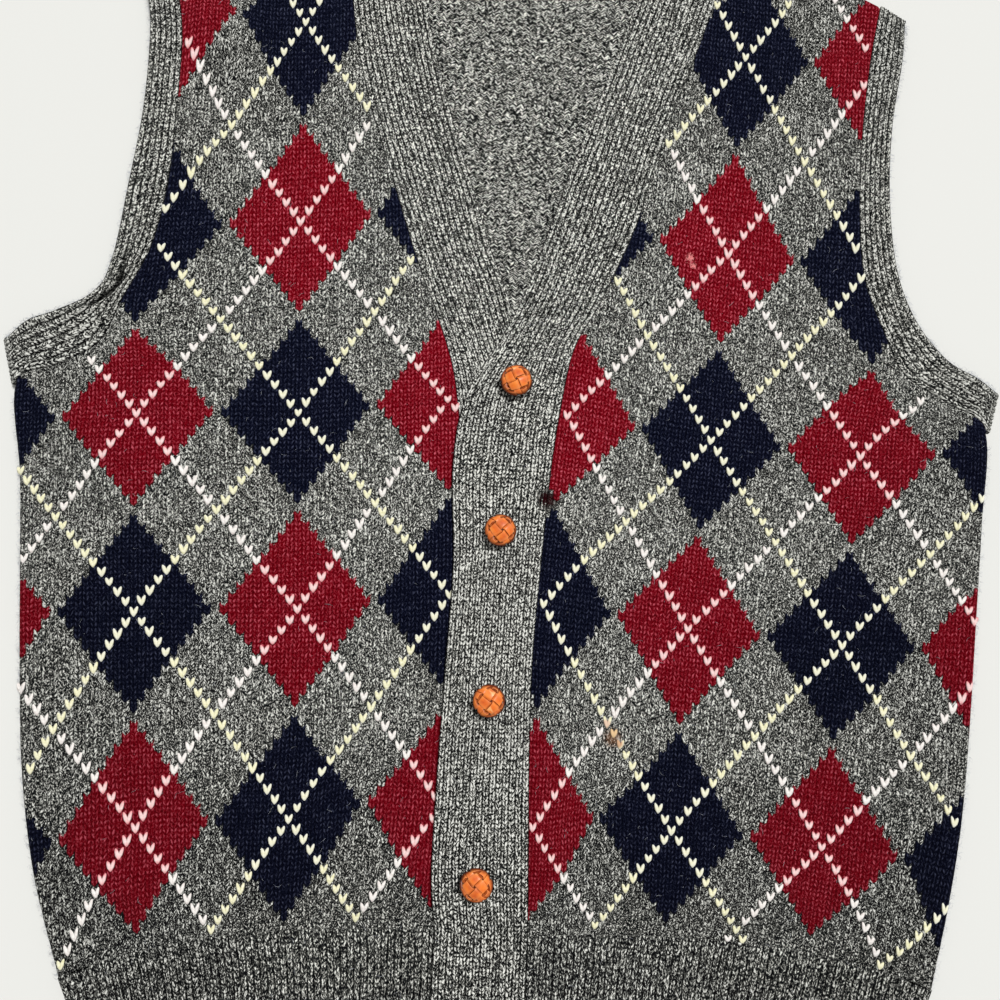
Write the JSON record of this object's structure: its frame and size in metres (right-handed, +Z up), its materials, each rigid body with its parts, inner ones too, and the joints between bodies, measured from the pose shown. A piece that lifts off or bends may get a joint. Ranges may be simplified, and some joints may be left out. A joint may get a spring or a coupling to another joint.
{
  "type": "knitted sweater vest laid flat",
  "caption": "Argyle V-neck button-front knitted sweater vest laid flat, with ribbed grey bands and hem and woven leather buttons.",
  "frame": {"origin": "on the surface the garment lies on, below the centre of its outline", "axes": "+X towards the wearer's left side, +Y from the hem towards the shoulders, +Z up from the surface through the back to the front"},
  "size_m": [0.5171, 0.652, 0.0168],
  "materials": {
    "argyle_knit": "plain wool knit in grey marl with crimson and navy diamonds and cream and white single-stitch lines",
    "grey_knit": "plain grey marl wool knit",
    "grey_rib": "ribbed grey marl wool knit",
    "button_leather": "orange-tan woven leather, softly polished"
  },
  "bodies": {
    "root": {"back": "grey_knit", "front_right": "argyle_knit", "front_left": "argyle_knit", "hem_rib_back": "grey_rib", "hem_rib_front_right": "grey_rib", "hem_rib_front_left": "grey_rib", "button_band": "grey_rib", "buttonhole_band": "grey_rib", "neck_band_back": "grey_rib", "armhole_band_right": "grey_rib", "armhole_band_left": "grey_rib", "button_1": "button_leather", "button_2": "button_leather", "button_3": "button_leather", "button_4": "button_leather", "button_5": "button_leather"}
  },
  "joints": []
}
